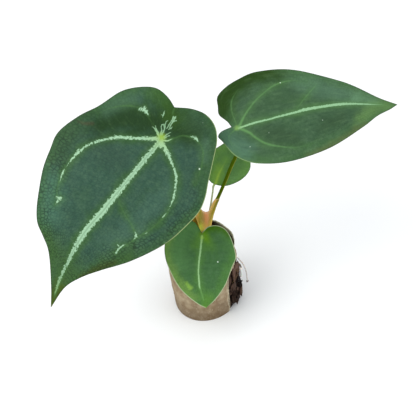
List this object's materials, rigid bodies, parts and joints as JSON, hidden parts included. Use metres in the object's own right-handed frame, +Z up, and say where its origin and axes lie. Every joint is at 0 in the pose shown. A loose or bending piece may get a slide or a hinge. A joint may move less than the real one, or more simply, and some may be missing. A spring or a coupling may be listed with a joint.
{
  "type": "potted anthurium forgetii",
  "caption": "Young velvet-leaved aroid with dark heart-shaped leaves and silver veins, rooted in a paper-sleeved plug of bark that stands on its flat base.",
  "frame": {"origin": "middle of the plug's flat base, on the surface it stands on", "axes": "+Z up; +Y away from the front, from which the upper faces of the leaves are seen; +X to the right, towards the tip of the long leaf"},
  "size_m": [0.1863, 0.0902, 0.1507],
  "materials": {
    "paper": "thin matt paper, damp and stained",
    "bark_and_coir": "dark moist bark crumbs and coir fibre",
    "sheath": "tan, thin dry sheath with fine lengthwise lines",
    "petiole": "smooth olive green, soft gloss",
    "young_petiole": "pale green, smooth",
    "velvet_blade": "dark velvety green with pale silver veins",
    "young_blade": "fresh green, velvety, with faint veins",
    "root": "cream, matt"
  },
  "bodies": {
    "root": {"paper_sleeve": "paper", "growing_medium": "bark_and_coir", "crown": "sheath", "petiole_large_leaf": "petiole", "petiole_long_leaf": "petiole", "petiole_small_leaf": "petiole", "petiole_young_leaf": "young_petiole", "blade_large_leaf": "velvet_blade", "blade_long_leaf": "velvet_blade", "blade_small_leaf": "velvet_blade", "blade_young_leaf": "young_blade", "root_long": "root", "root_short": "root", "bark_fibre": "bark_and_coir"}
  },
  "joints": []
}
